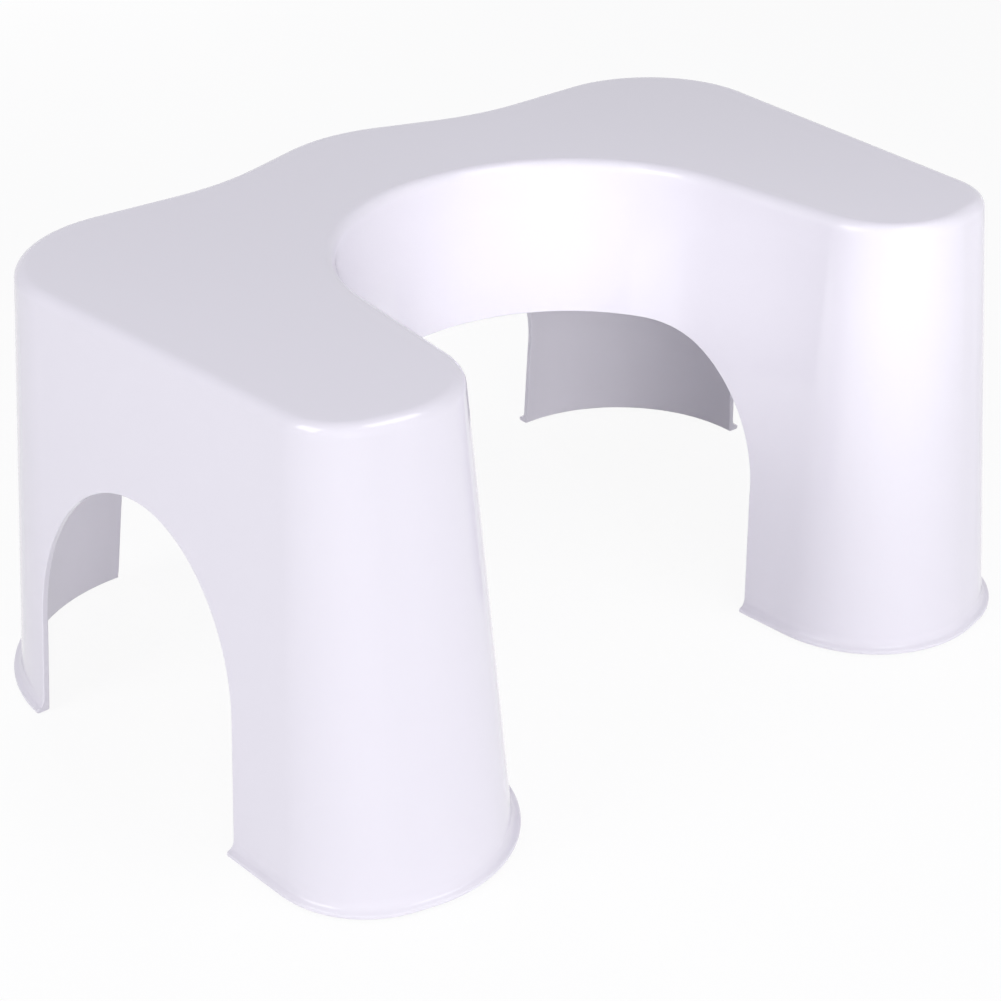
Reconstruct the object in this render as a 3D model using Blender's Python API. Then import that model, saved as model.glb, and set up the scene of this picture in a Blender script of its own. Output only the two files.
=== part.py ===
"""Toilet footstool: one moulded shell on four feet, each foot standing on an anti-slip strip.

Lengths are in metres. +Z is up, +Y points to the waved edge, and -Y to the open side that goes
round the foot of the toilet. The plan is the same on both sides of X = 0.
"""

import math
from collections import namedtuple

import bmesh
import bpy
from mathutils import Matrix, Vector

# Moulding
SHELL_HEIGHT = 0.200
WALL = 0.0029
DECK_THICKNESS = 0.0029
DECK_EDGE_RADIUS = 0.005
UNDER_DECK_RADIUS = 0.002

# Deck plan: corner points of the outline before rounding, and the rounding of each
BULGE_Y = 0.1295
BULGE_RADIUS = 0.074
VALLEY_X = 0.0735
VALLEY_Y = 0.103
VALLEY_RADIUS = 0.118
LOBE_X = 0.2015
LOBE_Y = 0.1085
LOBE_RADIUS = 0.057
ARM_OUTER_X = 0.178
ARM_OUTER_Y = -0.131
ARM_OUTER_RADIUS = 0.028
ARM_INNER_X = 0.105
ARM_INNER_Y = -0.148
ARM_INNER_RADIUS = 0.038
CUTOUT_X = 0.088
CUTOUT_Y = 0.043
CUTOUT_RADIUS = 0.094

# Outward slope of each wall from the deck down, in degrees
BACK_DRAFT = 8.7
SIDE_DRAFT = 4.0
ARM_END_DRAFT = 4.9
ARM_INNER_DRAFT = 4.0
CUTOUT_DRAFT = 4.3

# Flared lip round the bottom of every foot
LIP_REACH = 0.0035
LIP_EDGE = 0.0022
LIP_ROUNDING = 0.0007

# Arches between the feet, heights measured from the lip's underside
SIDE_ARCH_TOP = 0.132
SIDE_ARCH_FRONT_Y = -0.081
SIDE_ARCH_FRONT_LEG = 0.060
SIDE_ARCH_CROWN_Y = -0.022
SIDE_ARCH_REAR_Y = 0.0545
SIDE_ARCH_REAR_LEG = 0.040
INNER_ARCH_TOP = 0.1275
INNER_ARCH_FOOT_Y = -0.0805
INNER_ARCH_LEG = 0.058
INNER_ARCH_CROWN_Y = -0.010
BACK_ARCH_TOP = 0.1275
BACK_ARCH_FOOT_X = 0.1285
BACK_ARCH_LEG = 0.048
BACK_ARCH_CROWN_X = 0.050
LEG_DRAFT = 3.5
UPRIGHT_LEG_DRAFT = 0.5

# Lattice of ribs under the deck
RIB_THICKNESS = 0.0018
RIB_DEPTH = 0.012
RIB_PITCH = 0.042
LENGTHWISE_RIBS = 7
CROSS_RIBS = 5
FIRST_CROSS_RIB_Y = -0.105

# Anti-slip strips, pressed into grooves under the lip
GRIP_WIDTH = 0.0030
GRIP_SEAT = 0.0012
GRIP_PROUD = 0.0008
GRIP_CLEARANCE = 0.0003
GRIP_END_INSET = 0.006
GRIP_ROUNDING = 0.0004

# Fineness of the round stretches, and how far a cutter runs past what it cuts
ARC_STEP = 6.0
FILLET_SEGMENTS = 4
COVE_SEGMENTS = 3
UNDER_DECK_SEGMENTS = 2
ARCH_SEGMENTS = 14
CUTTER_OVERRUN = 0.010

SHELL_COLOUR = (0.80, 0.79, 0.85, 1.0)
SHELL_ROUGHNESS = 0.22
GRIP_COLOUR = (0.50, 0.50, 0.52, 1.0)
GRIP_ROUGHNESS = 0.75

Corner = namedtuple("Corner", "x y radius draft")

RIGHT_HALF = [
    Corner(0.0, BULGE_Y, BULGE_RADIUS, BACK_DRAFT),
    Corner(VALLEY_X, VALLEY_Y, VALLEY_RADIUS, BACK_DRAFT),
    Corner(LOBE_X, LOBE_Y, LOBE_RADIUS, SIDE_DRAFT),
    Corner(ARM_OUTER_X, ARM_OUTER_Y, ARM_OUTER_RADIUS, ARM_END_DRAFT),
    Corner(ARM_INNER_X, ARM_INNER_Y, ARM_INNER_RADIUS, ARM_INNER_DRAFT),
    Corner(CUTOUT_X, CUTOUT_Y, CUTOUT_RADIUS, CUTOUT_DRAFT),
]


def whole_plan():
    """Corners of the whole outline, clockwise from above; each draft is of the side that follows."""
    left_half = [
        Corner(-corner.x, corner.y, corner.radius, before.draft)
        for before, corner in zip(RIGHT_HALF, RIGHT_HALF[1:])
    ]
    return RIGHT_HALF + left_half[::-1]


def to_the_left(direction):
    """Unit vector to the left of a direction, which is outwards on a clockwise outline."""
    return Vector((-direction.y, direction.x))


def moved_corner(point, normal_in, normal_out, move_in, move_out):
    """Corner point after the sides before and after it have each moved outwards."""
    across = normal_in.dot(normal_out)
    step = normal_in * (move_in - across * move_out) + normal_out * (move_out - across * move_in)
    return point + step / (1 - across * across)


def room_for(tangents, points):
    """Share of each rounding that the sides beside it have room for."""
    count = len(points)
    shares = []
    for i in range(count):
        share = 1.0
        for near, far in ((i, (i + 1) % count), (i, i - 1)):
            length = (points[far] - points[near]).length
            share = min(share, length / (tangents[near] + tangents[far]))
        shares.append(share)
    return shares


def outline(height, out=0.0):
    """Outline of the outer wall at a height over the lip's underside, moved outwards by a length."""
    plan = whole_plan()
    count = len(plan)
    places = [Vector((corner.x, corner.y)) for corner in plan]
    ahead = [(places[(i + 1) % count] - places[i]).normalized() for i in range(count)]
    fall = SHELL_HEIGHT - height
    moves = [out + fall * math.tan(math.radians(corner.draft)) for corner in plan]
    points = []
    turns = []
    radii = []
    for i, corner in enumerate(plan):
        normals = to_the_left(ahead[i - 1]), to_the_left(ahead[i])
        points.append(moved_corner(places[i], *normals, moves[i - 1], moves[i]))
        turns.append(ahead[i - 1].angle_signed(ahead[i]))
        bulging = math.copysign(1, turns[i])
        radii.append(corner.radius + bulging * (moves[i - 1] + moves[i]) / 2)
    tangents = [radius * math.tan(abs(turn) / 2) for radius, turn in zip(radii, turns)]
    ring = []
    for i, share in enumerate(room_for(tangents, points)):
        start = points[i] - ahead[i - 1] * tangents[i] * share
        centre = start - to_the_left(ahead[i - 1]) * math.copysign(radii[i] * share, turns[i])
        steps = math.ceil(abs(math.degrees(turns[i])) / ARC_STEP)
        for step in range(steps + 1):
            ring.append(centre + Matrix.Rotation(-turns[i] * step / steps, 2) @ (start - centre))
    return ring


def footprint_middle():
    """Y halfway between the arms' lip and whichever reaches further back: the feet or the bulge."""
    lip = outline(LIP_ROUNDING, LIP_REACH)
    back = [point.y for point in lip if abs(point.x) > BACK_ARCH_FOOT_X]
    back += [point.y for point in outline(BACK_ARCH_TOP)]
    return (min(point.y for point in lip) + max(back)) / 2


def quarter(segments):
    """Angles from 0 to 90 degrees."""
    return [math.pi / 2 * step / segments for step in range(segments + 1)]


def rounded_top(height, radius, inset, segments):
    """Levels, as height and move outwards, of a wall whose top edge is rounded over."""
    levels = []
    for angle in quarter(segments):
        rise = radius * (math.sin(angle) - 1)
        levels.append((height + rise, radius * (math.cos(angle) - 1) - inset))
    return levels


def lip_levels():
    """Levels of the flared lip: its underside's edge, its upright edge and the cove up to the wall."""
    levels = [(0.0, LIP_REACH - LIP_ROUNDING), (LIP_ROUNDING, LIP_REACH)]
    for angle in quarter(COVE_SEGMENTS):
        levels.append((LIP_EDGE + LIP_REACH * (1 - math.cos(angle)), LIP_REACH * (1 - math.sin(angle))))
    return levels


def link(name, mesh):
    """Object made from a finished bmesh, shaded smooth where its faces bend gently."""
    data = bpy.data.meshes.new(name)
    bmesh.ops.recalc_face_normals(mesh, faces=mesh.faces)
    mesh.to_mesh(data)
    mesh.free()
    data.shade_smooth()
    data.set_sharp_from_angle(angle=math.radians(35))
    thing = bpy.data.objects.new(name, data)
    bpy.context.scene.collection.objects.link(thing)
    thing.parent = base
    return thing


def loft(name, rings):
    """Closed solid through a stack of rings that all have the same number of points."""
    mesh = bmesh.new()
    face = mesh.faces.new([mesh.verts.new(point) for point in rings[0]])
    bottom = face.verts[:]
    for ring in rings[1:]:
        face = bmesh.ops.extrude_discrete_faces(mesh, faces=[face])["faces"][0]
        for vert, point in zip(face.verts, ring):
            vert.co = point
    mesh.faces.new(bottom)
    return link(name, mesh)


def wall_loft(name, levels):
    """Closed solid that follows the stool's outline through a list of levels."""
    rings = []
    for height, out in levels:
        rings.append([(point.x, point.y, height) for point in outline(height, out)])
    return loft(name, rings)


def slab(name, low, high):
    """Plain block between two corners."""
    mesh = bmesh.new()
    bmesh.ops.create_cube(mesh, size=1.0)
    middle = (Vector(low) + Vector(high)) / 2
    bmesh.ops.scale(mesh, vec=Vector(high) - Vector(low), verts=mesh.verts)
    bmesh.ops.translate(mesh, vec=middle, verts=mesh.verts)
    return link(name, mesh)


def as_cutter(thing):
    thing.display_type = "WIRE"
    thing.hide_render = True
    return thing


def cut(thing, cutter):
    """Takes a cutter's shape out of an object."""
    modifier = thing.modifiers.new(cutter.name, "BOOLEAN")
    modifier.operation = "DIFFERENCE"
    modifier.solver = "EXACT"
    modifier.object = as_cutter(cutter)


def arch_side(foot, crown, leg, top, draft):
    """Half an arch from the floor up: a straight leg, then a quarter of an ellipse to the crown."""
    slope = math.copysign(math.tan(math.radians(draft)), crown - foot)
    knee = foot + slope * leg
    points = [(foot - slope * CUTTER_OVERRUN, -CUTTER_OVERRUN)]
    for angle in quarter(ARCH_SEGMENTS):
        points.append((knee + (crown - knee) * (1 - math.cos(angle)), leg + (top - leg) * math.sin(angle)))
    return points


def without_repeats(points):
    """The points in order, less any that repeats the one before it."""
    return [point for i, point in enumerate(points) if point != points[i - 1]]


def side_arch_cutter(name, side):
    """Cutter for the arch in one side wall, drawn in Y and Z and run through that wall along X."""
    front = arch_side(
        SIDE_ARCH_FRONT_Y, SIDE_ARCH_CROWN_Y, SIDE_ARCH_FRONT_LEG, SIDE_ARCH_TOP, UPRIGHT_LEG_DRAFT
    )
    rear = arch_side(SIDE_ARCH_REAR_Y, SIDE_ARCH_CROWN_Y, SIDE_ARCH_REAR_LEG, SIDE_ARCH_TOP, LEG_DRAFT)
    profile = without_repeats(front + rear[::-1])
    inside = side * (ARM_OUTER_X + ARM_INNER_X) / 2
    outside = side * (max(point.x for point in outline(0.0, LIP_REACH)) + CUTTER_OVERRUN)
    return loft(name, [[(x, y, z) for y, z in profile] for x in (inside, outside)])


def inner_arch_cutter():
    """Cutter for the arch round the cut-out, drawn in Y and Z and run across both arms' inner walls."""
    behind = (CUTOUT_Y + VALLEY_Y) / 2
    profile = arch_side(INNER_ARCH_FOOT_Y, INNER_ARCH_CROWN_Y, INNER_ARCH_LEG, INNER_ARCH_TOP, LEG_DRAFT)
    profile += [(behind, INNER_ARCH_TOP), (behind, -CUTTER_OVERRUN)]
    reach = (ARM_OUTER_X + ARM_INNER_X) / 2
    return loft("inner_arch_cutter", [[(x, y, z) for y, z in profile] for x in (-reach, reach)])


def back_arch_cutter():
    """Cutter for the arch in the waved wall, drawn in X and Z and run through that wall along Y."""
    right = arch_side(BACK_ARCH_FOOT_X, BACK_ARCH_CROWN_X, BACK_ARCH_LEG, BACK_ARCH_TOP, LEG_DRAFT)
    left = [(-x, z) for x, z in right]
    profile = left + right[::-1]
    inside = (CUTOUT_Y + VALLEY_Y) / 2
    outside = max(point.y for point in outline(0.0, LIP_REACH)) + CUTTER_OVERRUN
    return loft("back_arch_cutter", [[(x, y, z) for x, z in profile] for y in (inside, outside)])


def rib_slots():
    """Slabs that leave the ribs standing when they are cut from the core."""
    low = SHELL_HEIGHT - DECK_THICKNESS - RIB_DEPTH
    high = SHELL_HEIGHT + CUTTER_OVERRUN
    far = LOBE_X + BULGE_Y
    half = RIB_THICKNESS / 2
    for i in range(LENGTHWISE_RIBS):
        x = (i - (LENGTHWISE_RIBS - 1) / 2) * RIB_PITCH
        yield slab(f"lengthwise_rib_slot_{i + 1}", (x - half, -far, low), (x + half, far, high))
    for i in range(CROSS_RIBS):
        y = FIRST_CROSS_RIB_Y + i * RIB_PITCH
        yield slab(f"cross_rib_slot_{i + 1}", (-far, y - half, low), (far, y + half, high))


def make_core():
    """The hollow inside the shell, open at the floor, with slots where the ribs stand."""
    top = SHELL_HEIGHT - DECK_THICKNESS
    levels = [(-CUTTER_OVERRUN, -WALL)]
    levels += rounded_top(top, UNDER_DECK_RADIUS, WALL, UNDER_DECK_SEGMENTS)
    core = wall_loft("core_cutter", levels)
    for slot in rib_slots():
        cut(core, slot)
    return core


def stretch(ring, inside):
    """The part of a closed ring where inside(point) is above zero, with its ends on the limit."""
    kept = []
    first = next(i for i, point in enumerate(ring) if inside(ring[i - 1]) <= 0 < inside(point))
    for i in range(first, first + len(ring)):
        before, point = ring[i - 1], ring[i % len(ring)]
        was, now = inside(before), inside(point)
        if (was > 0) != (now > 0):
            kept.append(before.lerp(point, was / (was - now)))
        if now > 0:
            kept.append(point)
        elif kept:
            break
    return kept


def foot_limits(name, inset):
    """Function that is above zero on the stretch of the right half's outline that a foot takes."""
    if name == "arm":
        limit = min(SIDE_ARCH_FRONT_Y, INNER_ARCH_FOOT_Y) - inset
        return lambda point: min(point.x, limit - point.y)
    side_limit = BACK_ARCH_FOOT_X + inset
    rear_limit = SIDE_ARCH_REAR_Y + inset
    return lambda point: min(point.x - side_limit, point.y - rear_limit)


def foot_strip(name, foot, side, width, inset, levels):
    """Solid strip along the middle of a foot's underside, following the outline."""
    middle = (LIP_REACH - WALL) / 2
    inside = foot_limits(foot, inset)
    rings = []
    for height, shrink in levels:
        half = width / 2 - shrink
        outer = stretch(outline(0.0, middle + half), inside)
        inner = stretch(outline(0.0, middle - half), inside)
        rings.append([(side * point.x, point.y, height) for point in outer + inner[::-1]])
    return loft(name, rings)


def make_groove(name, foot, side):
    """Cutter for the groove that a grip sits in."""
    width = GRIP_WIDTH + 2 * GRIP_CLEARANCE
    inset = GRIP_END_INSET - GRIP_CLEARANCE
    roof = GRIP_SEAT + GRIP_CLEARANCE
    return foot_strip(name, foot, side, width, inset, [(-CUTTER_OVERRUN, 0.0), (roof, 0.0)])


def make_grip(name, foot, side):
    """Anti-slip strip of one foot, with its two lower edges eased."""
    levels = [
        (-GRIP_PROUD, GRIP_ROUNDING),
        (GRIP_ROUNDING - GRIP_PROUD, 0.0),
        (GRIP_SEAT, 0.0),
    ]
    grip = foot_strip(name, foot, side, GRIP_WIDTH, GRIP_END_INSET, levels)
    grip.data.materials.append(finish("grip_rubber", GRIP_COLOUR, GRIP_ROUGHNESS))
    return grip


def finish(name, colour, roughness):
    """Plain material of one sub-part."""
    material = bpy.data.materials.get(name)
    if material is None:
        material = bpy.data.materials.new(name)
        material.use_nodes = True
        shader = material.node_tree.nodes["Principled BSDF"]
        shader.inputs["Base Color"].default_value = colour
        shader.inputs["Roughness"].default_value = roughness
        shader.inputs["Metallic"].default_value = 0.0
        material.diffuse_color = colour
    return material


def make_shell():
    """The moulding: deck, drafted walls, four arched openings, flared lips and ribs under the deck."""
    levels = lip_levels() + rounded_top(SHELL_HEIGHT, DECK_EDGE_RADIUS, 0.0, FILLET_SEGMENTS)
    shell = wall_loft("shell", levels)
    cut(shell, make_core())
    cut(shell, side_arch_cutter("right_side_arch_cutter", 1))
    cut(shell, side_arch_cutter("left_side_arch_cutter", -1))
    cut(shell, inner_arch_cutter())
    cut(shell, back_arch_cutter())
    shell.data.materials.append(finish("shell_plastic", SHELL_COLOUR, SHELL_ROUGHNESS))
    return shell


for old in list(bpy.data.objects):
    bpy.data.objects.remove(old)

base = bpy.data.objects.new("footstool_base", None)
bpy.context.scene.collection.objects.link(base)
base.location = (0.0, -footprint_middle(), GRIP_PROUD)

footstool_shell = make_shell()
for side_name, side_sign in (("right", 1), ("left", -1)):
    for foot_name in ("arm", "back"):
        label = f"{side_name}_{foot_name}_foot"
        cut(footstool_shell, make_groove(f"{label}_groove_cutter", foot_name, side_sign))
        make_grip(f"{label}_grip", foot_name, side_sign)
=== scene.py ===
"""Toilet footstool, dressed: a glossy white moulding that stands on four rubber strips.

The shell is cut out flat, as one unrolled wall, and then wrapped round the stool's outline.
"""

import math
from collections import namedtuple
from functools import lru_cache

import bmesh
import bpy
from mathutils import Matrix, Vector


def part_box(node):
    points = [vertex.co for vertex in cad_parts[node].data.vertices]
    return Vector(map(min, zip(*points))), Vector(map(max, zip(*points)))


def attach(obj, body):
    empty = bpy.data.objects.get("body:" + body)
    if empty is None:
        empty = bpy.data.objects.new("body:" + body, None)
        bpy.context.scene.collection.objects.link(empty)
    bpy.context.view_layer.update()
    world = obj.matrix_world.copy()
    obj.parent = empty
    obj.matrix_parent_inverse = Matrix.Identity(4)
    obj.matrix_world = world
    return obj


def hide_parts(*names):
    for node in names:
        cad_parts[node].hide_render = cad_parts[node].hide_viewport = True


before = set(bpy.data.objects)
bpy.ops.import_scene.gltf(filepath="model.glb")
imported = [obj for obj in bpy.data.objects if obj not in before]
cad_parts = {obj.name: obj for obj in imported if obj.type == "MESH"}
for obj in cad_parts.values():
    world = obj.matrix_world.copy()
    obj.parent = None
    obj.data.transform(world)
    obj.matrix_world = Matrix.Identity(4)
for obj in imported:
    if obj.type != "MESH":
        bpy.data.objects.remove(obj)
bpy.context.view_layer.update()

# The photograph's camera: its place in metres and its turns in degrees
IMAGE_PIXELS = 1001
FOCAL_PIXELS = 2088
AXIS_COLUMN = 440
AXIS_ROW = 400
SENSOR_MM = 36.0
CAMERA_PLACE = Vector((-0.5208, -0.6559, 0.5286))
CAMERA_AZIMUTH = -36.45
CAMERA_ELEVATION = 26.46
CAMERA_ROLL = -1.61

# Shell, from the frame
SHELL_LOW, SHELL_HIGH = (Vector(corner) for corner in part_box("shell"))
SHELL_HEIGHT = SHELL_HIGH.z - SHELL_LOW.z

# Shell, wall and rounded edges
WALL = 0.0029
DECK_EDGE_RADIUS = 0.005
EDGE_ROUNDING = 0.0005

# Deck plan: corners of the right half's outline, clockwise from the bulge, each with its rounding
# and the outward slope in degrees of the wall that follows it
Corner = namedtuple("Corner", "x y radius draft")
BULGE = Corner(0.0, 0.1295, 0.074, 8.7)
VALLEY = Corner(0.0735, 0.103, 0.118, 8.7)
LOBE = Corner(0.2015, 0.1085, 0.057, 4.0)
ARM_OUTER = Corner(0.178, -0.131, 0.028, 4.9)
ARM_INNER = Corner(0.105, -0.148, 0.038, 4.0)
CUTOUT = Corner(0.088, 0.043, 0.094, 4.3)
RIGHT_HALF = (BULGE, VALLEY, LOBE, ARM_OUTER, ARM_INNER, CUTOUT)

# Flared lip round the bottom of every foot
LIP_REACH = 0.0035
LIP_EDGE = 0.0022
LIP_NOSE = 0.0008
LIP_COVE = 0.0040

# Arches between the feet: heights from the lip's underside, and the slope of the leg in degrees
Arch = namedtuple("Arch", "foot crown leg top slope")
SIDE_ARCH_FRONT = Arch(-0.081, -0.022, 0.060, 0.132, 0.5)
SIDE_ARCH_REAR = Arch(0.0545, -0.022, 0.040, 0.132, 3.5)
INNER_ARCH = Arch(-0.0805, -0.010, 0.058, 0.1275, 3.5)
BACK_ARCH = Arch(0.1285, 0.050, 0.048, 0.1275, 3.5)

# Lattice of ribs under the deck
RIB_THICKNESS = 0.0018
RIB_ROUNDING = 0.0005
RIB_DEPTH = 0.012
RIB_PITCH = 0.042
LENGTHWISE_RIBS = 7
CROSS_RIBS = 5
FIRST_CROSS_RIB_Y = -0.105

# Rubber strips under the feet, and the flat land left round the groove of each
GRIP_WIDTH = 0.0030
GRIP_SEAT = 0.0012
GRIP_CLEARANCE = 0.0003
GRIP_END_INSET = 0.006
GRIP_ROUNDING = 0.0005
GROOVE_LAND = 0.0001

# Surfaces: patches vary the roughness and grains the relief, both in waves a metre
Surface = namedtuple(
    "Surface",
    "colour ior smoothest roughest patches patch_detail relief grain_height grains grain_detail",
)
WHITE_PLASTIC = Surface(
    colour=(0.81, 0.785, 0.845), ior=1.49,
    smoothest=0.06, roughest=0.10, patches=60.0, patch_detail=4.0,
    relief=0.25, grain_height=0.00004, grains=900.0, grain_detail=2.0,
)
GRIP_RUBBER = Surface(
    colour=(0.36, 0.36, 0.38), ior=1.45,
    smoothest=0.62, roughest=0.80, patches=400.0, patch_detail=3.0,
    relief=0.5, grain_height=0.0001, grains=3000.0, grain_detail=3.0,
)
NOISE_LOW = 0.3
NOISE_HIGH = 0.7

# Floor: half its width, its gap below the stool, and its share of plain white; the rest shows the
# stool's shadow
FLOOR_REACH = 6.0
FLOOR_GAP = 0.0002
FLOOR_WHITE_SHARE = 0.92
FLOOR_COLOUR = (0.94, 0.94, 0.94)
FLOOR_ROUGHNESS = 0.9

# Surroundings, as they light the stool and as they are seen
WORLD_COLOUR = (0.84, 0.83, 1.0)
WORLD_STRENGTH = 0.27
WORLD_WHITE_SHARE = 1.0
WHITE = (1.0, 1.0, 1.0)

# Lamps: bearing from their target in degrees, distance and size in metres, power in watts, width
# of the beam in degrees, and whether they show in reflections
Lamp = namedtuple("Lamp", "name azimuth elevation distance size power beam reflected")
LAMPS_ON_MIDDLE = (
    Lamp("left_key", -90.0, 43.0, 1.2, 0.52, 3.5, 180.0, True),
    Lamp("right_key", 18.0, 58.0, 1.1, 0.42, 2.2, 180.0, True),
    Lamp("front_fill", -24.0, 14.0, 1.8, 0.80, 4.5, 110.0, False),
    Lamp("front_right_fill", 22.0, 16.0, 0.9, 0.40, 1.1, 180.0, False),
    Lamp("left_fill", -92.0, 18.0, 1.1, 0.50, 0.49, 110.0, False),
    Lamp("right_fill", 100.0, 10.0, 1.8, 0.60, 0.8, 110.0, False),
    Lamp("back_fill", 165.0, 10.0, 1.8, 0.60, 3.4, 110.0, False),
)
CUTOUT_LAMP = Lamp("cutout_fill", 4.0, 8.0, 0.9, 0.12, 0.016, 16.0, False)
CUTOUT_LAMP_X = 0.048
CUTOUT_LAMP_HEIGHT = 0.160
RIGHT_ARM_LAMP = Lamp("right_arm_fill", -80.0, -4.0, 0.13, 0.06, 0.009, 90.0, False)
RIGHT_ARM_LAMP_Y = -0.040
RIGHT_ARM_LAMP_HEIGHT = 0.165

# Fineness: the wall is unrolled at its true length at the reference height, arcs are stepped in
# degrees, and places that round to the same last digit of a metre are worked out once
REFERENCE_HEIGHT = 0.060
ARC_STEP = 2.5
COLUMN_SPACING = 0.008
ROW_SPACING = 0.010
NOSE_STEPS = 6
COVE_STEPS = 5
DECK_EDGE_STEPS = 6
RIM_STEPS = 3
ARCH_SEGMENTS = 30
RIB_ROUNDING_STEPS = 2
GRIP_ROUNDING_STEPS = 3
DECK_GRID = 0.020
SHARP_ANGLE = 40
HALVINGS = 40
LAST_DIGIT = 7
SNAP = 0.0003
WELD = 0.00001

# Axes, as places in a vector and as directions
X, Y = 0, 1
X_AXIS = Vector((1.0, 0.0, 0.0))
Y_AXIS = Vector((0.0, 1.0, 0.0))


def to_the_left(direction):
    """Unit vector to the left of a direction, which is outwards on a clockwise outline."""
    return Vector((-direction.y, direction.x))


def mirrored(corner, draft):
    return corner._replace(x=-corner.x, draft=draft)


@lru_cache(maxsize=None)
def rounded_corners(height, out):
    """The right half's corners at a height, moved outwards: start, centre and turn of each arc."""
    chain = [mirrored(VALLEY, BULGE.draft), *RIGHT_HALF, mirrored(CUTOUT, ARM_INNER.draft)]
    places = [Vector((corner.x, corner.y)) for corner in chain]
    ahead = [(after - place).normalized() for place, after in zip(places, places[1:])]
    fall = SHELL_HEIGHT - height
    moves = [out + fall * math.tan(math.radians(corner.draft)) for corner in chain]
    arcs = []
    for i in range(1, len(chain) - 1):
        before, after = to_the_left(ahead[i - 1]), to_the_left(ahead[i])
        move_before, move_after = moves[i - 1], moves[i]
        across = before.dot(after)
        step = before * (move_before - across * move_after)
        step += after * (move_after - across * move_before)
        turn = ahead[i - 1].angle_signed(ahead[i])
        bulging = math.copysign(1, turn)
        radius = chain[i].radius + bulging * (move_before + move_after) / 2
        corner = places[i] + step / (1 - across * across)
        start = corner - ahead[i - 1] * radius * math.tan(abs(turn) / 2)
        arcs.append((start, start - before * bulging * radius, turn))
    return arcs


def on_arc(arc, share):
    start, centre, turn = arc
    return centre + Matrix.Rotation(-turn * share, 2) @ (start - centre)


def stretch_point(index, share, height, out):
    """Point at a share of one stretch of the right half's outline; even stretches are the arcs."""
    arcs = rounded_corners(height, out)
    arc = arcs[index // 2]
    if index == 0:
        return on_arc(arc, (1 + share) / 2)
    if index % 2 == 0:
        return on_arc(arc, share)
    begin = on_arc(arc, 1)
    end = arcs[index // 2 + 1][0] if index // 2 + 1 < len(arcs) else Vector((0.0, begin.y))
    return begin.lerp(end, share)


def stretch_lengths():
    """Length of each stretch at the height where the unrolled wall has its true length."""
    lengths = []
    for index in range(2 * len(RIGHT_HALF)):
        arc = rounded_corners(REFERENCE_HEIGHT, 0.0)[index // 2]
        if index % 2 == 0:
            turned = abs(arc[2]) * (arc[0] - arc[1]).length
            lengths.append(turned / 2 if index == 0 else turned)
        else:
            ends = [stretch_point(index, share, REFERENCE_HEIGHT, 0.0) for share in (0, 1)]
            lengths.append((ends[1] - ends[0]).length)
    return lengths


LENGTHS = stretch_lengths()
BEGINS = [sum(LENGTHS[:index]) for index in range(len(LENGTHS) + 1)]
HALF_LENGTH = BEGINS[-1]


def plan_point(along, height, out):
    """Point of the outline at a distance along the unrolled wall, in the plan's own X and Y."""
    index = 0
    while index < len(LENGTHS) - 1 and along > BEGINS[index + 1]:
        index += 1
    return stretch_point(index, (along - BEGINS[index]) / LENGTHS[index], height, out)


def columns():
    """Distances along the wall at which the mesh has an edge from bottom to top."""
    places = []
    for index, (begin, length) in enumerate(zip(BEGINS, LENGTHS)):
        if index % 2 == 0:
            turn = math.degrees(rounded_corners(REFERENCE_HEIGHT, 0.0)[index // 2][2])
            steps = math.ceil(abs(turn) / (2 * ARC_STEP if index == 0 else ARC_STEP))
        else:
            steps = math.ceil(length / COLUMN_SPACING)
        places += [begin + length * step / steps for step in range(steps)]
    return places


COLUMNS = columns()
LIP_Y = min(plan_point(along, LIP_EDGE / 2, LIP_REACH).y for along in COLUMNS)
PLAN_SHIFT = Vector((0.0, SHELL_LOW.y - LIP_Y, SHELL_LOW.z))


def lip_flare(height):
    """How far the lip stands out from the wall at a height."""
    neck = LIP_REACH - LIP_NOSE
    if height < LIP_EDGE:
        share = 1 - 2 * max(height, 0.0) / LIP_EDGE
        return neck + LIP_NOSE * math.sqrt(1 - share * share)
    if height < LIP_EDGE + LIP_COVE:
        rise = 1 - (height - LIP_EDGE) / LIP_COVE
        return neck * (1 - math.sqrt(1 - rise * rise))
    return 0.0


def wrapped(flat):
    """Place on the stool of a point of the unrolled wall, given along, up and minus its depth."""
    along, up, depth = flat.x, flat.y, -flat.z
    top = SHELL_HEIGHT - DECK_EDGE_RADIUS
    if up > top:
        angle = (up - top) / DECK_EDGE_RADIUS
        radius = DECK_EDGE_RADIUS - depth
        height = top + radius * math.sin(angle)
        out = round(radius * math.cos(angle) - DECK_EDGE_RADIUS, LAST_DIGIT)
        point = plan_point(along, top, out)
        drawn = plan_point(along, SHELL_HEIGHT, out)
        point = point.lerp(drawn, (height - top) / DECK_EDGE_RADIUS)
    else:
        height = up
        share = min(1.0, (WALL - depth) / (WALL - EDGE_ROUNDING))
        out = round(lip_flare(height) * share - depth, LAST_DIGIT)
        point = plan_point(along, round(height, LAST_DIGIT), out)
    return Vector((point.x, point.y, height)) + PLAN_SHIFT


def where_wall_is(axis, value, height, first, last):
    """Distance along the wall, between two limits, at which its outline's X or Y has a value."""
    rising = plan_point(last, height, 0.0)[axis] > plan_point(first, height, 0.0)[axis]
    for _ in range(HALVINGS):
        middle = (first + last) / 2
        if (plan_point(middle, height, 0.0)[axis] < value) == rising:
            first = middle
        else:
            last = middle
    return (first + last) / 2


def arch_side(arch):
    """Half an arch from the floor up: a straight leg, then a quarter of an ellipse to the crown."""
    slope = math.copysign(math.tan(math.radians(arch.slope)), arch.crown - arch.foot)
    knee = arch.foot + slope * arch.leg
    points = [(arch.foot, 0.0)]
    for step in range(ARCH_SEGMENTS + 1):
        angle = math.pi / 2 * step / ARCH_SEGMENTS
        across = knee + (arch.crown - knee) * (1 - math.cos(angle))
        points.append((across, arch.leg + (arch.top - arch.leg) * math.sin(angle)))
    return points


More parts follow.
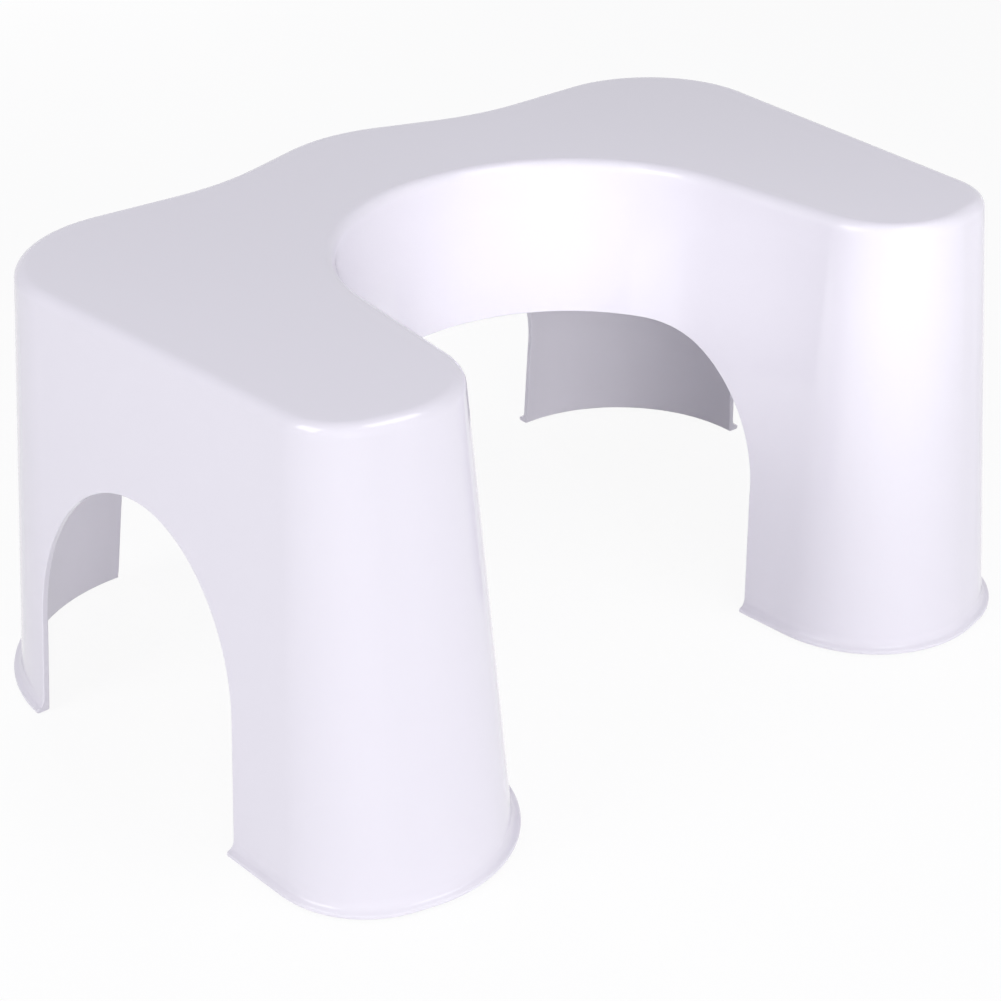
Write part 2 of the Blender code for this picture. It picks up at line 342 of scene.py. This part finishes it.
def middle_of(corner):
    """Distance along the wall of the middle of a corner's arc."""
    index = 2 * RIGHT_HALF.index(corner)
    return (BEGINS[index] + BEGINS[index + 1]) / 2


def lower_edge():
    """Lower edge of the unrolled wall, round every arch and under every foot from the bulge on."""
    edge = [(0.0, BACK_ARCH.top)]
    for x, z in reversed(arch_side(BACK_ARCH)):
        edge.append((where_wall_is(X, x, z, 0.0, middle_of(LOBE)), z))
    for y, z in arch_side(SIDE_ARCH_REAR) + arch_side(SIDE_ARCH_FRONT)[-2::-1]:
        edge.append((where_wall_is(Y, y, z, middle_of(LOBE), middle_of(ARM_OUTER)), z))
    for y, z in arch_side(INNER_ARCH):
        edge.append((where_wall_is(Y, y, z, middle_of(ARM_INNER), HALF_LENGTH), z))
    edge.append((HALF_LENGTH, INNER_ARCH.top))
    return edge


def flat_top():
    return SHELL_HEIGHT - DECK_EDGE_RADIUS + DECK_EDGE_RADIUS * math.pi / 2


def is_cut_edge(edge):
    """Whether an edge of the unrolled wall is part of its lower edge."""
    if len(edge.link_faces) != 1:
        return False
    ends = [vert.co for vert in edge.verts]
    on_top = all(abs(end.y - flat_top()) < WELD for end in ends)
    on_left = all(abs(end.x) < WELD for end in ends)
    on_right = all(abs(end.x - HALF_LENGTH) < WELD for end in ends)
    return not (on_top or on_left or on_right)


def outward_at(mesh):
    """For each vertex of the lower edge, the mitred direction out of the sheet."""
    sums = {}
    for edge in filter(is_cut_edge, mesh.edges):
        loop = edge.link_loops[0]
        run = (loop.link_loop_next.vert.co - loop.vert.co).normalized()
        across = run.cross(edge.link_faces[0].normal)
        for vert in edge.verts:
            sums.setdefault(vert, []).append(across)
    directions = {}
    for vert, normals in sums.items():
        if len(normals) == 1:
            directions[vert] = Vector((0.0, math.copysign(1, normals[0].y), 0.0))
        else:
            directions[vert] = (normals[0] + normals[1]) / (1 + normals[0].dot(normals[1]))
    return directions


def ordered(items):
    """The items once each, in the order they come in."""
    return list(dict.fromkeys(items))


def only(kind, items):
    """The items of one kind out of a list of vertices, edges and faces."""
    return [item for item in items if isinstance(item, kind)]


def bisect(mesh, faces, axis, place, snap=SNAP):
    """Cuts faces across an axis at a place along it, and gives the faces of both sides."""
    edges = ordered(edge for face in faces for edge in face.edges)
    verts = ordered(vert for face in faces for vert in face.verts)
    cut = bmesh.ops.bisect_plane(
        mesh, geom=[*verts, *edges, *faces], dist=snap, plane_co=axis * place, plane_no=axis
    )
    return only(bmesh.types.BMFace, cut["geom"])


def rows():
    """Heights on the unrolled wall at which the mesh has an edge right round the stool."""
    turns = [math.pi * step / NOSE_STEPS for step in range(1, NOSE_STEPS + 1)]
    nose = [LIP_EDGE / 2 * (1 - math.cos(turn)) for turn in turns]
    quarters = [math.pi / 2 * step / COVE_STEPS for step in range(1, COVE_STEPS + 1)]
    cove = [LIP_EDGE + LIP_COVE * (1 - math.cos(turn)) for turn in quarters]
    top = SHELL_HEIGHT - DECK_EDGE_RADIUS
    first = LIP_EDGE + LIP_COVE
    steps = math.ceil((top - first) / ROW_SPACING)
    wall = [first + (top - first) * step / steps for step in range(1, steps + 1)]
    rise = flat_top() - top
    deck_edge = [top + rise * step / DECK_EDGE_STEPS for step in range(1, DECK_EDGE_STEPS)]
    return [up for up in nose if up > EDGE_ROUNDING] + cove + wall + deck_edge


def unrolled_wall():
    """Outer face of the right half's wall, laid flat, cut along its lower edge and ruled."""
    mesh = bmesh.new()
    corners = lower_edge() + [(HALF_LENGTH, flat_top()), (0.0, flat_top())]
    mesh.faces.new([mesh.verts.new((along, up, 0.0)) for along, up in corners])
    mesh.normal_update()
    if mesh.faces[:][0].normal.z < 0:
        bmesh.ops.reverse_faces(mesh, faces=mesh.faces)
        mesh.normal_update()
    for vert, direction in outward_at(mesh).items():
        vert.co -= direction * EDGE_ROUNDING
    for along in COLUMNS[1:]:
        bisect(mesh, mesh.faces[:], X_AXIS, along)
    for up in rows():
        bisect(mesh, mesh.faces[:], Y_AXIS, up)
    return mesh


def rim_profile():
    """Steps from the outer face's edge, round the cut, to the inner face's edge: out and depth."""
    quarter = [math.radians(90 / RIM_STEPS * step) for step in range(RIM_STEPS + 1)]
    steps = [(math.sin(angle), 1 - math.cos(angle)) for angle in quarter]
    outer = [(EDGE_ROUNDING * out, EDGE_ROUNDING * depth) for out, depth in steps]
    inner = [(out, WALL - depth) for out, depth in reversed(outer)]
    return outer[1:] + inner


def thicken(mesh):
    """Gives the flat sheet its wall thickness, with every cut edge rounded on both sides."""
    directions = outward_at(mesh)
    rim = [edge for edge in mesh.edges if is_cut_edge(edge)]
    sheet = mesh.verts[:] + mesh.edges[:] + mesh.faces[:]
    inner = bmesh.ops.duplicate(mesh, geom=sheet)["geom"]
    bmesh.ops.translate(mesh, vec=(0.0, 0.0, -WALL), verts=only(bmesh.types.BMVert, inner))
    bmesh.ops.reverse_faces(mesh, faces=only(bmesh.types.BMFace, inner))
    anchors = {vert: (vert.co.copy(), direction) for vert, direction in directions.items()}
    for out, depth in rim_profile():
        moved = {}
        grown = bmesh.ops.extrude_edge_only(mesh, edges=rim)["geom"]
        for vert in only(bmesh.types.BMVert, grown):
            neighbours = [edge.other_vert(vert) for edge in vert.link_edges]
            moved[vert] = anchors[next(near for near in neighbours if near in anchors)]
        for vert, (anchor, direction) in moved.items():
            vert.co = anchor + direction * out + Vector((0.0, 0.0, -depth))
        anchors = moved
        new_edges = only(bmesh.types.BMEdge, grown)
        rim = [edge for edge in new_edges if all(vert in moved for vert in edge.verts)]
    bmesh.ops.remove_doubles(mesh, verts=mesh.verts, dist=WELD)


def grip_stretches():
    """Each foot of the right half, with the distances along the wall at which its grip ends."""
    edge = [along for along, up in lower_edge() if up == 0.0]
    return [
        (foot, first + GRIP_END_INSET, last - GRIP_END_INSET)
        for foot, (first, last) in (("back", edge[:2]), ("arm", edge[2:]))
    ]


def under_foot(along, across, height):
    """Place on the right half, across from a grip's middle line and at a height over the floor."""
    point = plan_point(along, 0.0, round((LIP_REACH - WALL) / 2 + across, LAST_DIGIT))
    return Vector((point.x, point.y + PLAN_SHIFT.y, height))


def undersides(mesh):
    """Faces of the flat wall that the feet stand on."""
    return [face for face in mesh.faces if all(abs(vert.co.y) < WELD for vert in face.verts)]


def cut_grooves(mesh):
    """Cuts the grips' grooves into the flat wall's feet, and gives the place of each new vertex."""
    half = GRIP_WIDTH / 2 + GRIP_CLEARANCE
    roof_height = SHELL_LOW.z + GRIP_SEAT + GRIP_CLEARANCE
    places = {}
    for _, first, last in grip_stretches():
        begin = first - GRIP_CLEARANCE - GROOVE_LAND
        end = last + GRIP_CLEARANCE + GROOVE_LAND
        for along in (begin, end):
            bisect(mesh, undersides(mesh), X_AXIS, along, WELD)
        mesh.normal_update()
        roof = [face for face in undersides(mesh) if begin < face.calc_center_median().x < end]
        bmesh.ops.inset_region(mesh, faces=roof, thickness=GROOVE_LAND, use_even_offset=True)
        sides = bmesh.ops.inset_region(mesh, faces=roof, thickness=0.0)["faces"]
        roof_verts = {vert for face in roof for vert in face.verts}
        for vert in ordered(vert for face in sides for vert in face.verts):
            across = half if -vert.co.z < WALL / 2 else -half
            height = roof_height if vert in roof_verts else SHELL_LOW.z
            places[vert] = under_foot(vert.co.x, across, height)
    return places


def fill_deck(mesh):
    """Closes the deck and its underside, and rules a grid over both."""
    open_edges = [edge for edge in mesh.edges if len(edge.link_faces) == 1]
    plates = bmesh.ops.holes_fill(mesh, edges=open_edges, sides=0)["faces"]
    margin = DECK_EDGE_RADIUS / 2
    bmesh.ops.inset_region(mesh, faces=plates, thickness=margin, use_even_offset=True)
    reach = math.ceil(SHELL_HIGH.x / DECK_GRID)
    for axis in (X_AXIS, Y_AXIS):
        for step in range(-reach, reach + 1):
            plates = [plate for plate in plates if plate.is_valid]
            plates = bisect(mesh, plates, axis, step * DECK_GRID)


def crossings(axis, value, height, depth):
    """Where a line across the plan, at a value of X or Y, meets the wall at a depth into it."""
    right = [plan_point(along, height, -depth) for along in COLUMNS + [HALF_LENGTH]]
    ring = right + [Vector((-point.x, point.y)) for point in reversed(right)]
    found = []
    for before, after in zip(ring, ring[1:] + ring[:1]):
        if (before[axis] > value) != (after[axis] > value):
            share = (value - before[axis]) / (after[axis] - before[axis])
            found.append(before.lerp(after, share)[1 - axis])
    return sorted(found)


def add_ribs(mesh, axis, value):
    """Ribs along one line of the lattice, each reaching into the walls at its two ends."""
    low = SHELL_HEIGHT - WALL - RIB_DEPTH
    high = SHELL_HEIGHT - WALL / 2
    ends_low = crossings(axis, value, low, WALL / 2)
    ends_high = crossings(axis, value, high, DECK_EDGE_RADIUS / 2)
    for first in range(0, len(ends_low), 2):
        rib = bmesh.ops.create_cube(mesh, size=1.0)["verts"]
        for vert in rib:
            ends = ends_high if vert.co.z > 0 else ends_low
            end = ends[first + 1] if vert.co[1 - axis] > 0 else ends[first]
            place = Vector((0.0, 0.0, high if vert.co.z > 0 else low))
            place[axis] = value + vert.co[axis] * RIB_THICKNESS
            place[1 - axis] = end
            vert.co = place + PLAN_SHIFT
        bottom = min(vert.co.z for vert in rib)
        free = [
            edge for edge in ordered(edge for vert in rib for edge in vert.link_edges)
            if all(vert.co.z < bottom + WELD for vert in edge.verts)
            and edge.verts[0].co[axis] == edge.verts[1].co[axis]
        ]
        bmesh.ops.bevel(
            mesh, geom=free, offset=RIB_ROUNDING, segments=RIB_ROUNDING_STEPS, profile=0.5,
            affect="EDGES", material=-1,
        )


def sort_by_corners(mesh):
    """Puts edges and faces in an order that follows from their corners, the same in every run."""
    mesh.verts.index_update()
    for parts in (mesh.edges, mesh.faces):
        by_corners = sorted(parts, key=lambda part: sorted(vert.index for vert in part.verts))
        places = {part: place for place, part in enumerate(by_corners)}
        parts.sort(key=places.get)


def finished(name, mesh, surface, slot):
    """Object of a finished mesh that rides on the stool, smooth but for its sharp edges."""
    sort_by_corners(mesh)
    data = bpy.data.meshes.new(name)
    mesh.to_mesh(data)
    mesh.free()
    data.shade_smooth()
    data.set_sharp_from_angle(angle=math.radians(SHARP_ANGLE))
    data.materials.append(surface_material(slot, surface))
    piece = bpy.data.objects.new(name, data)
    bpy.context.scene.collection.objects.link(piece)
    weighted = piece.modifiers.new("even_normals", "WEIGHTED_NORMAL")
    weighted.keep_sharp = True
    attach(piece, "root")
    return piece


def make_shell():
    """The moulding, in one piece with its ribs."""
    mesh = unrolled_wall()
    thicken(mesh)
    groove_places = cut_grooves(mesh)
    for vert in mesh.verts:
        vert.co = groove_places[vert] if vert in groove_places else wrapped(vert.co)
    half = mesh.verts[:] + mesh.edges[:] + mesh.faces[:]
    bmesh.ops.mirror(mesh, geom=half, merge_dist=WELD, axis="X")
    fill_deck(mesh)
    bmesh.ops.recalc_face_normals(mesh, faces=mesh.faces)
    for step in range(LENGTHWISE_RIBS):
        add_ribs(mesh, X, (step - (LENGTHWISE_RIBS - 1) / 2) * RIB_PITCH)
    for step in range(CROSS_RIBS):
        add_ribs(mesh, Y, FIRST_CROSS_RIB_Y + step * RIB_PITCH)
    shell = finished("moulded_shell", mesh, WHITE_PLASTIC, "white_plastic")
    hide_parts("shell")


def make_grip(side, name, first, last):
    """Rubber strip under one foot, between two distances along the wall."""
    mesh = bmesh.new()
    bmesh.ops.create_cube(mesh, size=1.0)
    height = GRIP_SEAT + SHELL_LOW.z
    bmesh.ops.scale(mesh, vec=(last - first, height, GRIP_WIDTH), verts=mesh.verts)
    bmesh.ops.translate(mesh, vec=((first + last) / 2, height / 2, 0.0), verts=mesh.verts)
    bmesh.ops.bevel(
        mesh, geom=mesh.edges[:], offset=GRIP_ROUNDING, segments=GRIP_ROUNDING_STEPS, profile=0.5,
        affect="EDGES", material=-1,
    )
    for along in COLUMNS:
        if first + GRIP_ROUNDING < along < last - GRIP_ROUNDING:
            bisect(mesh, mesh.faces[:], X_AXIS, along)
    for vert in mesh.verts:
        place = under_foot(vert.co.x, vert.co.z, vert.co.y)
        vert.co = Vector((side * place.x, place.y, place.z))
    bmesh.ops.recalc_face_normals(mesh, faces=mesh.faces)
    grip = finished(f"{name}_strip", mesh, GRIP_RUBBER, "grip_rubber")
    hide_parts(f"{name}_grip")


def make_grips():
    """The four strips, each in the groove under its foot."""
    for side, word in ((1, "right"), (-1, "left")):
        for foot, first, last in grip_stretches():
            make_grip(side, f"{word}_{foot}_foot", first, last)


def new_material(name):
    material = bpy.data.materials.new(name)
    material.use_nodes = True
    return material, material.node_tree.nodes, material.node_tree.links


def noise(nodes, links, scale, detail):
    """Noise over the piece's own coordinates; scale is in waves a metre."""
    place = nodes.new("ShaderNodeTexCoord")
    texture = nodes.new("ShaderNodeTexNoise")
    texture.inputs["Scale"].default_value = scale
    texture.inputs["Detail"].default_value = detail
    links.new(place.outputs["Object"], texture.inputs["Vector"])
    return texture.outputs["Fac"]


def between(nodes, links, value, low, high):
    """A noise value brought between two limits."""
    ranged = nodes.new("ShaderNodeMapRange")
    ranged.inputs["From Min"].default_value = NOISE_LOW
    ranged.inputs["From Max"].default_value = NOISE_HIGH
    ranged.inputs["To Min"].default_value = low
    ranged.inputs["To Max"].default_value = high
    links.new(value, ranged.inputs["Value"])
    return ranged.outputs["Result"]


def surface_material(name, surface):
    """Material whose roughness varies in soft patches, with a fine grain in relief."""
    material, nodes, links = new_material(name)
    shader = nodes["Principled BSDF"]
    shader.inputs["Base Color"].default_value = (*surface.colour, 1.0)
    shader.inputs["IOR"].default_value = surface.ior
    patches = noise(nodes, links, surface.patches, surface.patch_detail)
    roughness = between(nodes, links, patches, surface.smoothest, surface.roughest)
    links.new(roughness, shader.inputs["Roughness"])
    bump = nodes.new("ShaderNodeBump")
    bump.inputs["Strength"].default_value = surface.relief
    bump.inputs["Distance"].default_value = surface.grain_height
    grain = noise(nodes, links, surface.grains, surface.grain_detail)
    links.new(grain, bump.inputs["Height"])
    links.new(bump.outputs["Normal"], shader.inputs["Normal"])
    return material


def bearing(azimuth, elevation):
    """Unit vector at an azimuth, 0 in front of the stool and 90 on its right, and an elevation."""
    turn, rise = math.radians(azimuth), math.radians(elevation)
    return Vector((
        math.sin(turn) * math.cos(rise),
        -math.cos(turn) * math.cos(rise),
        math.sin(rise),
    ))


def make_camera():
    """Camera at the photograph's place, angle and framing."""
    azimuth = math.radians(CAMERA_AZIMUTH)
    roll = math.radians(CAMERA_ROLL)
    back = bearing(CAMERA_AZIMUTH, CAMERA_ELEVATION)
    level = Vector((math.cos(azimuth), math.sin(azimuth), 0.0))
    upright = back.cross(level)
    right = level * math.cos(roll) + upright * math.sin(roll)
    up = upright * math.cos(roll) - level * math.sin(roll)
    data = bpy.data.cameras.new("photo_camera")
    data.sensor_width = SENSOR_MM
    data.lens = SENSOR_MM * FOCAL_PIXELS / IMAGE_PIXELS
    data.shift_x = (IMAGE_PIXELS / 2 - AXIS_COLUMN) / IMAGE_PIXELS
    data.shift_y = (AXIS_ROW - IMAGE_PIXELS / 2) / IMAGE_PIXELS
    camera = bpy.data.objects.new("photo_camera", data)
    turned = Matrix((right, up, back)).transposed().to_4x4()
    camera.matrix_world = Matrix.Translation(CAMERA_PLACE) @ turned
    bpy.context.scene.collection.objects.link(camera)
    bpy.context.scene.camera = camera


def white_where_seen(nodes, links, surface, output, share):
    """Mixes a share of plain white into a surface wherever it is looked at, also by reflection."""
    path = nodes.new("ShaderNodeLightPath")
    seen = path.outputs["Is Camera Ray"]
    for kind in ("Is Glossy Ray", "Is Transmission Ray"):
        either = nodes.new("ShaderNodeMath")
        either.operation = "MAXIMUM"
        links.new(seen, either.inputs[0])
        links.new(path.outputs[kind], either.inputs[1])
        seen = either.outputs["Value"]
    amount = nodes.new("ShaderNodeMath")
    amount.operation = "MULTIPLY"
    amount.inputs[1].default_value = share
    links.new(seen, amount.inputs[0])
    white = nodes.new("ShaderNodeEmission")
    white.inputs["Color"].default_value = (*WHITE, 1.0)
    mix = nodes.new("ShaderNodeMixShader")
    links.new(amount.outputs["Value"], mix.inputs["Fac"])
    links.new(surface, mix.inputs[1])
    links.new(white.outputs["Emission"], mix.inputs[2])
    links.new(mix.outputs["Shader"], output.inputs["Surface"])


def make_floor():
    """Wide white floor that keeps a faint shadow of the stool."""
    mesh = bmesh.new()
    bmesh.ops.create_grid(mesh, x_segments=1, y_segments=1, size=FLOOR_REACH)
    data = bpy.data.meshes.new("floor")
    mesh.to_mesh(data)
    mesh.free()
    floor = bpy.data.objects.new("floor", data)
    floor.location.z = -FLOOR_GAP
    bpy.context.scene.collection.objects.link(floor)
    material, nodes, links = new_material("pale_floor")
    shader = nodes["Principled BSDF"]
    shader.inputs["Base Color"].default_value = (*FLOOR_COLOUR, 1.0)
    shader.inputs["Roughness"].default_value = FLOOR_ROUGHNESS
    output = nodes["Material Output"]
    white_where_seen(nodes, links, shader.outputs["BSDF"], output, FLOOR_WHITE_SHARE)
    data.materials.append(material)


def make_world():
    """Even pale surroundings, white where they are seen."""
    world = bpy.data.worlds.new("studio")
    world.use_nodes = True
    nodes, links = world.node_tree.nodes, world.node_tree.links
    background = nodes["Background"]
    background.inputs["Color"].default_value = (*WORLD_COLOUR, 1.0)
    background.inputs["Strength"].default_value = WORLD_STRENGTH
    output = nodes["World Output"]
    white_where_seen(nodes, links, background.outputs["Background"], output, WORLD_WHITE_SHARE)
    bpy.context.scene.world = world


def add_lamp(lamp, target):
    """Square lamp that faces a target and is itself out of sight."""
    away = bearing(lamp.azimuth, lamp.elevation)
    data = bpy.data.lights.new(lamp.name, "AREA")
    data.shape = "SQUARE"
    data.size = lamp.size
    data.energy = lamp.power
    data.spread = math.radians(lamp.beam)
    soft_box = bpy.data.objects.new(lamp.name, data)
    soft_box.location = target + away * lamp.distance
    soft_box.rotation_euler = away.to_track_quat("Z", "Y").to_euler()
    soft_box.visible_camera = False
    soft_box.visible_glossy = lamp.reflected
    bpy.context.scene.collection.objects.link(soft_box)


def make_lights():
    """Keys and fills round the stool, and a small fill each for the cut-out and the right arm."""
    for lamp in LAMPS_ON_MIDDLE:
        add_lamp(lamp, Vector((0.0, 0.0, SHELL_HEIGHT / 2)))
    cutout_wall = Vector((CUTOUT_LAMP_X, CUTOUT.y + PLAN_SHIFT.y, CUTOUT_LAMP_HEIGHT))
    add_lamp(CUTOUT_LAMP, cutout_wall)
    right_arm_wall = Vector((CUTOUT.x, RIGHT_ARM_LAMP_Y, RIGHT_ARM_LAMP_HEIGHT))
    add_lamp(RIGHT_ARM_LAMP, right_arm_wall)


bpy.context.scene.view_settings.view_transform = "Standard"
make_camera()
make_floor()
make_world()
make_lights()
make_shell()
make_grips()
